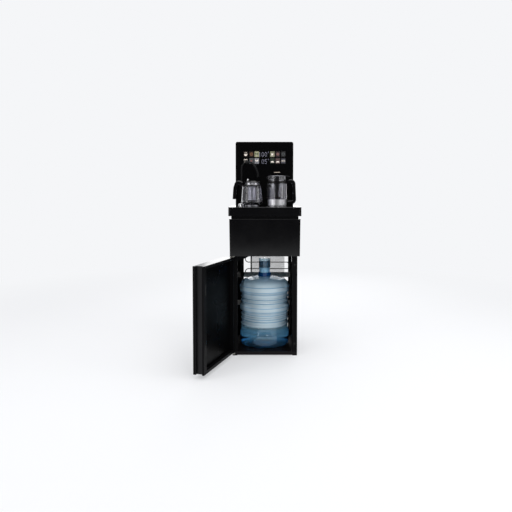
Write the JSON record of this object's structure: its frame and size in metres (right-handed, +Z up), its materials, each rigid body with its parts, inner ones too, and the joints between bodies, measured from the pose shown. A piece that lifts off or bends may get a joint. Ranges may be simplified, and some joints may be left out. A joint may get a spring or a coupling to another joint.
{
  "type": "bottom load water cooler",
  "caption": "Free-standing bottom load water cooler: open bottle bay with a side-hung door, deck with a heated tea pot, glass jug and swivel spout, and an upright touch display.",
  "frame": {"origin": "middle of the cabinet's base, on the floor", "axes": "+Z up, the front faces -Y, +X to the right seen from the front"},
  "size_m": [0.4974, 0.6533, 1.101],
  "materials": {
    "dark_paint": "satin dark grey paint",
    "bright_steel": "galvanised strap",
    "rear_paint": "matt black paint",
    "tray_plastic": "fine grained moulding",
    "duct_plastic": "plain moulding",
    "fascia_gloss": "deep gloss black",
    "counter_gloss": "gloss black",
    "neck_satin": "satin black",
    "plate_glass": "black ceramic plate",
    "plate_steel": "turned",
    "door_gloss": "gloss black",
    "door_frame_plastic": "satin black",
    "door_liner_plastic": "glossy black",
    "grip_metal": "dark anodised",
    "magnet_metal": "plated",
    "nylon": "natural nylon",
    "zinc_steel": "zinc plated",
    "rubber_black": "matt",
    "bottle_plastic": "clear blue",
    "collar_blue": "blue",
    "water": "clear water",
    "pot_clear": "clear facetted glass",
    "pot_black": "gloss black",
    "pot_steel": "perforated steel",
    "pot_lid_grey": "satin grey",
    "knob_chrome": "polished",
    "jug_steel": "polished steel",
    "jug_clear": "clear glass",
    "jug_black": "gloss black",
    "jug_lid_steel": "polished steel",
    "spout_black": "gloss black",
    "spout_trim": "polished",
    "display_black": "black printed glass",
    "display_shell": "black",
    "condenser_paint": "black paint",
    "hose_grey": "matt",
    "shell_black": "black paint",
    "copper": "copper",
    "foam": "foam jacket",
    "pump_plastic": "white",
    "board_green": "circuit board",
    "hose_clear": "silicone",
    "probe_plastic": "black",
    "inlet_plastic": "black",
    "rocker_plastic": "black"
  },
  "bodies": {
    "cabinet": {"base_tray": "tray_plastic", "left_side_panel": "dark_paint", "right_side_panel": "dark_paint", "back_braces": "bright_steel", "cable_duct": "duct_plastic", "hinge_gusset": "dark_paint", "bay_ceiling": "dark_paint", "front_bulkhead": "dark_paint", "rear_panel": "rear_paint", "fascia_cover": "fascia_gloss", "neck_frame": "neck_satin", "counter_top": "counter_gloss", "heating_plate": "plate_glass", "jug_plate": "plate_steel", "hinge_brackets": "zinc_steel", "hinge_pins": "zinc_steel", "door_bumpers": "rubber_black", "spout_collar": "spout_trim", "display_glass": "display_black", "display_housing": "display_shell", "condenser_tube": "condenser_paint", "condenser_wires": "condenser_paint", "condenser_clips": "duct_plastic", "drain_hose": "hose_grey", "compressor": "shell_black", "compressor_mounts": "rubber_black", "discharge_line": "copper", "cold_tank": "foam", "water_pump": "pump_plastic", "circuit_boards": "board_green", "water_hoses": "hose_clear", "suction_probe": "probe_plastic", "probe_clips": "duct_plastic", "inlet_module": "inlet_plastic"},
    "door": {"door_front_panel": "door_gloss", "door_frame": "door_frame_plastic", "door_inner_liner": "door_liner_plastic", "door_edge_grip": "grip_metal", "door_magnets": "magnet_metal", "door_bushes": "nylon"},
    "bottle": {"bottle_shell": "bottle_plastic", "bottle_collar": "collar_blue", "bottle_cap": "collar_blue", "bottle_water": "water"},
    "pot": {"pot_glass": "pot_clear", "pot_base": "pot_black", "pot_collar": "pot_black", "pot_infuser": "pot_steel", "pot_handle": "pot_black"},
    "pot_lid": {"pot_lid": "pot_lid_grey", "pot_lid_knob": "knob_chrome"},
    "jug": {"jug_base": "jug_steel", "jug_glass": "jug_clear", "jug_sleeve": "jug_clear", "jug_handle": "jug_black"},
    "jug_lid": {"jug_lid": "jug_lid_steel", "jug_lid_loop": "jug_lid_steel"},
    "spout": {"spout_tube": "spout_black", "spout_nozzle": "spout_trim"},
    "rocker": {"switch_rocker": "rocker_plastic"}
  },
  "joints": [
    {"name": "door_hinge", "type": "hinge", "parent": "cabinet", "child": "door", "pos_m": [-0.166, -0.164, 0.26], "axis": [0, 0, 1], "range_deg": [0, 109.6]},
    {"name": "bottle_slide", "type": "slide", "parent": "cabinet", "child": "bottle", "axis": [0, -1, 0], "range_m": [0, 0.4]},
    {"name": "pot_slide", "type": "slide", "parent": "cabinet", "child": "pot", "axis": [0, -1, 0], "range_m": [0, 0.16]},
    {"name": "pot_lid_lift", "type": "slide", "parent": "pot", "child": "pot_lid", "axis": [0, 0, 1], "range_m": [0, 0.015]},
    {"name": "jug_lift", "type": "slide", "parent": "cabinet", "child": "jug", "axis": [0, 0, 1], "range_m": [0, 0.15]},
    {"name": "jug_lid_lift", "type": "slide", "parent": "jug", "child": "jug_lid", "axis": [0, 0, 1], "range_m": [0, 0.06]},
    {"name": "spout_swivel", "type": "hinge", "parent": "cabinet", "child": "spout", "pos_m": [-0.124, 0.078, 0.8], "axis": [0, 0, 1], "range_deg": [-70, 20]},
    {"name": "switch_rock", "type": "hinge", "parent": "cabinet", "child": "rocker", "pos_m": [-0.1175, 0.1512, 0.5945], "axis": [1, 0, 0], "range_deg": [-16, 0]}
  ]
}
